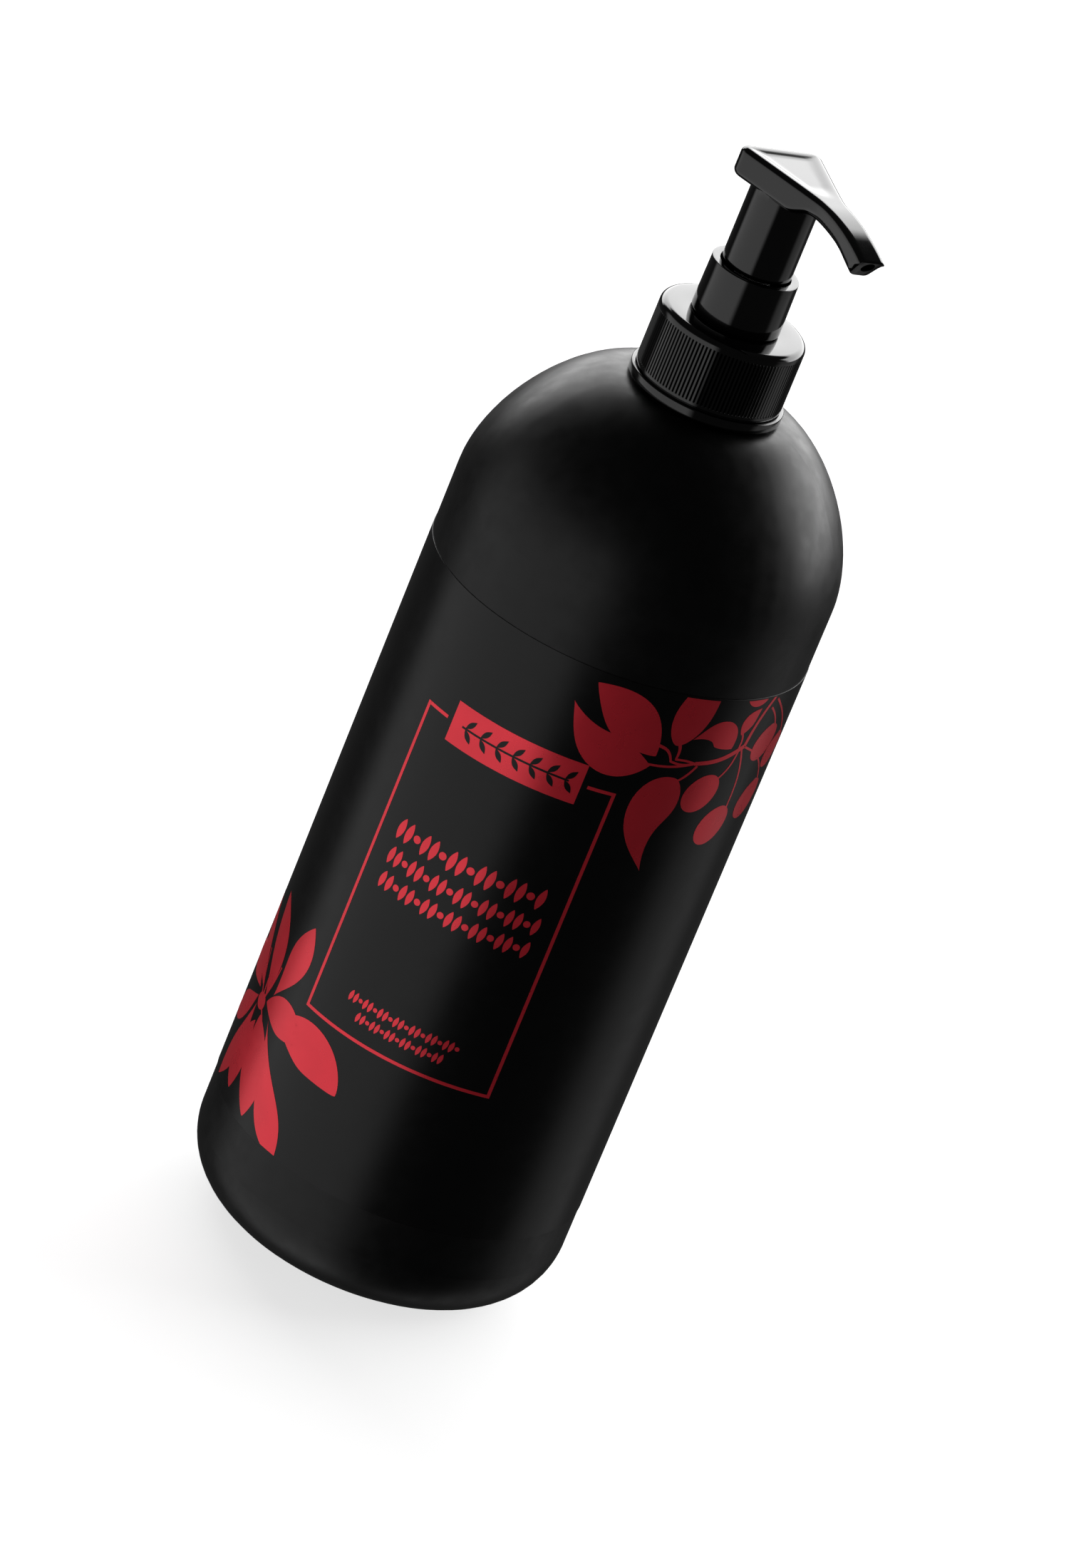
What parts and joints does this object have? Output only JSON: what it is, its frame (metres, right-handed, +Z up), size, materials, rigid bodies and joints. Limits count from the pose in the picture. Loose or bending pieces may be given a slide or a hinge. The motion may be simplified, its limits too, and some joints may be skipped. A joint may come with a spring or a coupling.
{
  "type": "pump oil bottle",
  "caption": "Tall round oil bottle with a domed shoulder, rounded foot, film label, ribbed screw closure and a push pump whose slim spout turns and droops at its tip.",
  "frame": {"origin": "centre of the bottle's foot, on the surface it stands on", "axes": "+Z up the bottle's axis towards the pump head, -Y out of the middle of the label's front"},
  "size_m": [0.0842, 0.0843, 0.2627],
  "materials": {
    "bottle_black": "soft-touch matte black",
    "label_film": "satin black film",
    "print_red": "satin red ink",
    "pump_black": "polished black",
    "gasket_foam": "closed-cell white foam",
    "housing_natural": "natural translucent",
    "tube_natural": "natural translucent",
    "stem_natural": "natural",
    "plug_natural": "natural",
    "seal_white": "white, waxy",
    "spring_steel": "bright drawn wire",
    "ball_steel": "polished"
  },
  "bodies": {
    "bottle": {"bottle_shell": "bottle_black", "wrap_label": "label_film"},
    "gasket": {"neck_gasket": "gasket_foam"},
    "pump": {"pump_housing": "housing_natural", "collar": "pump_black", "spring_seat": "plug_natural", "return_spring": "spring_steel", "dip_tube": "tube_natural"},
    "closure": {"closure": "pump_black"},
    "seal": {"stem_seal": "seal_white"},
    "head": {"head_body": "pump_black", "stem": "stem_natural", "piston_plug": "plug_natural"},
    "piston": {"piston": "seal_white"},
    "ball": {"inlet_ball": "ball_steel"}
  },
  "joints": [
    {"name": "pump_lift", "type": "slide", "parent": "bottle", "child": "gasket", "axis": [0, 0, 1], "range_m": [0, 0.23]},
    {"name": "thread_rise", "type": "slide", "parent": "gasket", "child": "pump", "axis": [0, 0, 1], "range_m": [0, 0.0064]},
    {"name": "closure_turn", "type": "hinge", "parent": "pump", "child": "closure", "pos_m": [0, 0, 0.2185], "axis": [0, 0, 1], "range_deg": [0, 540]},
    {"name": "head_turn", "type": "hinge", "parent": "pump", "child": "seal", "pos_m": [0, 0, 0.2212], "axis": [0, 0, 1], "continuous": true},
    {"name": "head_press", "type": "slide", "parent": "seal", "child": "head", "axis": [0, 0, 1], "range_m": [-0.014, 0], "stiffness_N_per_m": 900, "springref_m": 0.01, "deforming": ["return_spring"]},
    {"name": "piston_float", "type": "slide", "parent": "head", "child": "piston", "axis": [0, 0, 1], "range_m": [0, 0.001]},
    {"name": "inlet_ball_lift", "type": "slide", "parent": "pump", "child": "ball", "axis": [0, 0, 1], "range_m": [0, 0.0015]}
  ],
  "couplings": [
    {"joint": "thread_rise", "follows": "closure_turn", "m_per_rad": 0.00067376}
  ]
}
